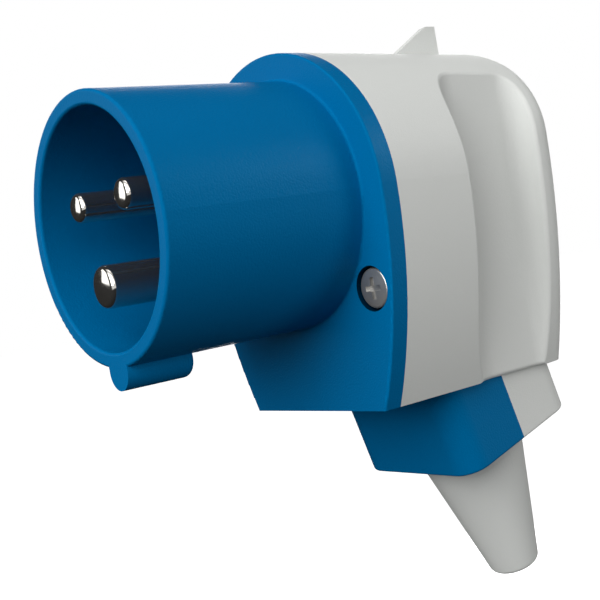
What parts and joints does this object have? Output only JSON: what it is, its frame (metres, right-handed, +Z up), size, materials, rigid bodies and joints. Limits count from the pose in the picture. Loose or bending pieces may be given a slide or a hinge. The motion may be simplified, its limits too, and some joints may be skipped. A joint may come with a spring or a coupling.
{
  "type": "angled industrial pin and sleeve plug",
  "caption": "Angled pin and sleeve power plug with a round shroud over round contact pins, a split housing held by screws, and a cable collar with a bend relief boot.",
  "frame": {"origin": "centre of the shroud's front rim", "axes": "-Y points out of the shroud into the socket, +Z up through the retaining lug, the keyway rib is at -Z and the cable leaves downwards and back"},
  "size_m": [0.0532, 0.0873, 0.1098],
  "materials": {
    "blue_moulding": "fine satin grain",
    "grey_moulding": "fine satin grain",
    "gasket_rubber": "smooth",
    "boot_rubber": "soft matt",
    "saddle_moulding": "moulded",
    "nickel_plated_pin": "bright nickel plate",
    "zinc_plated_screw": "zinc plated",
    "stainless_screw": "pressed stainless steel",
    "brass_insert": "turned"
  },
  "bodies": {
    "root": {"bend_relief_boot": "boot_rubber", "carrier_gasket": "gasket_rubber", "carrier_screw_left": "zinc_plated_screw", "carrier_screw_right": "zinc_plated_screw", "clamp_saddle": "saddle_moulding", "clamp_screw_left": "zinc_plated_screw", "clamp_screw_right": "zinc_plated_screw", "front_shell": "blue_moulding", "housing_screw_left": "stainless_screw", "housing_screw_right": "stainless_screw", "pin_carrier": "blue_moulding", "pin_earth": "nickel_plated_pin", "pin_line": "nickel_plated_pin", "pin_neutral": "nickel_plated_pin", "rear_housing": "grey_moulding", "terminal_screw_earth": "zinc_plated_screw", "terminal_screw_line": "zinc_plated_screw", "terminal_screw_neutral": "zinc_plated_screw", "threaded_insert_left": "brass_insert", "threaded_insert_right": "brass_insert"}
  },
  "joints": []
}
